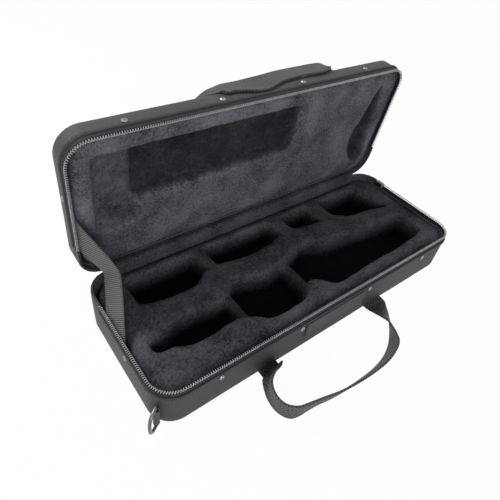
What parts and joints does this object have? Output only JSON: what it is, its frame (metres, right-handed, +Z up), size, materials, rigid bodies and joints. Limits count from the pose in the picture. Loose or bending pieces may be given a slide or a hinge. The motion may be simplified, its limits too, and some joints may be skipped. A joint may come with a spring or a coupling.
{
  "type": "clarinet case",
  "caption": "Soft zipped clarinet case standing open: nylon tray and hinged lid, plush foam wells, webbing handles, slack lid stay and a corner ring.",
  "frame": {"origin": "centre of the tray's underside, on the table", "axes": "+X along the case to its right end, -Y to the front with the handles, +Y to the hinged back, +Z up"},
  "size_m": [0.3842, 0.2294, 0.1934],
  "materials": {
    "tray_nylon": "coated woven nylon",
    "lid_nylon": "coated woven nylon",
    "plush": "short-pile plush over foam",
    "webbing": "ribbed woven webbing",
    "zipper_tape": "woven tape",
    "zipper_coil": "coil teeth",
    "binding": "woven binding",
    "rivet_metal": "bright",
    "ring_metal": "dark plated",
    "slider_metal": "dark plated",
    "patch_webbing": "ribbed fabric",
    "board": "stiff board"
  },
  "bodies": {
    "tray": {"back_rail": "plush", "end_block_left": "plush", "end_block_right": "plush", "front_patch": "patch_webbing", "front_rail": "plush", "partition_left": "plush", "partition_middle": "plush", "partition_right": "plush", "ring_tab": "webbing", "saddle_left": "plush", "saddle_right": "plush", "spine": "plush", "stay_strap": "webbing", "tray_base_board": "board", "tray_floor_pad": "plush", "tray_handle_tab_left": "webbing", "tray_handle_tab_right": "webbing", "tray_hinge_band": "binding", "tray_rim_binding": "binding", "tray_rivet_front_1": "rivet_metal", "tray_rivet_front_2": "rivet_metal", "tray_rivet_front_3": "rivet_metal", "tray_rivet_front_4": "rivet_metal", "tray_rivet_left": "rivet_metal", "tray_rivet_right": "rivet_metal", "tray_shell": "tray_nylon", "tray_zipper_coil": "zipper_coil", "tray_zipper_tape": "zipper_tape", "zipper_slider": "slider_metal"},
    "lid": {"lid_backing_pad": "plush", "lid_handle_tab_left": "webbing", "lid_handle_tab_right": "webbing", "lid_hinge_band": "binding", "lid_pad": "plush", "lid_recess_step": "plush", "lid_rim_binding": "binding", "lid_rivet_front_1": "rivet_metal", "lid_rivet_front_2": "rivet_metal", "lid_rivet_front_3": "rivet_metal", "lid_rivet_front_4": "rivet_metal", "lid_rivet_left": "rivet_metal", "lid_rivet_right": "rivet_metal", "lid_shell": "lid_nylon", "lid_top_board": "board", "lid_zipper_coil": "zipper_coil", "lid_zipper_tape": "zipper_tape"},
    "tray_handle": {"tray_handle": "webbing"},
    "lid_handle": {"lid_handle": "webbing"},
    "strap_ring": {"strap_ring": "ring_metal"},
    "zipper_pull": {"zipper_pull": "slider_metal"}
  },
  "joints": [
    {"name": "lid_hinge", "type": "hinge", "parent": "tray", "child": "lid", "pos_m": [0, 0.069, 0.046], "axis": [-1, 0, 0], "range_deg": [-85, 25], "deforming": ["stay_strap"]},
    {"name": "tray_handle_swing", "type": "hinge", "parent": "tray", "child": "tray_handle", "pos_m": [-0.0075, -0.0742, 0.0026], "axis": [-1, 0, 0], "range_deg": [0, 30]},
    {"name": "lid_handle_swing", "type": "hinge", "parent": "lid", "child": "lid_handle", "pos_m": [0.0075, 0.08396, 0.1768], "axis": [-1, 0, 0], "range_deg": [0, 80]},
    {"name": "ring_swing", "type": "hinge", "parent": "tray", "child": "strap_ring", "pos_m": [-0.18471, -0.0622, 0.0168], "axis": [0, 0, 1], "range_deg": [-80, 80]},
    {"name": "pull_swing", "type": "hinge", "parent": "tray", "child": "zipper_pull", "pos_m": [0.1884, 0.04015, 0.041], "axis": [0, -1, 0], "range_deg": [0, 150]}
  ]
}
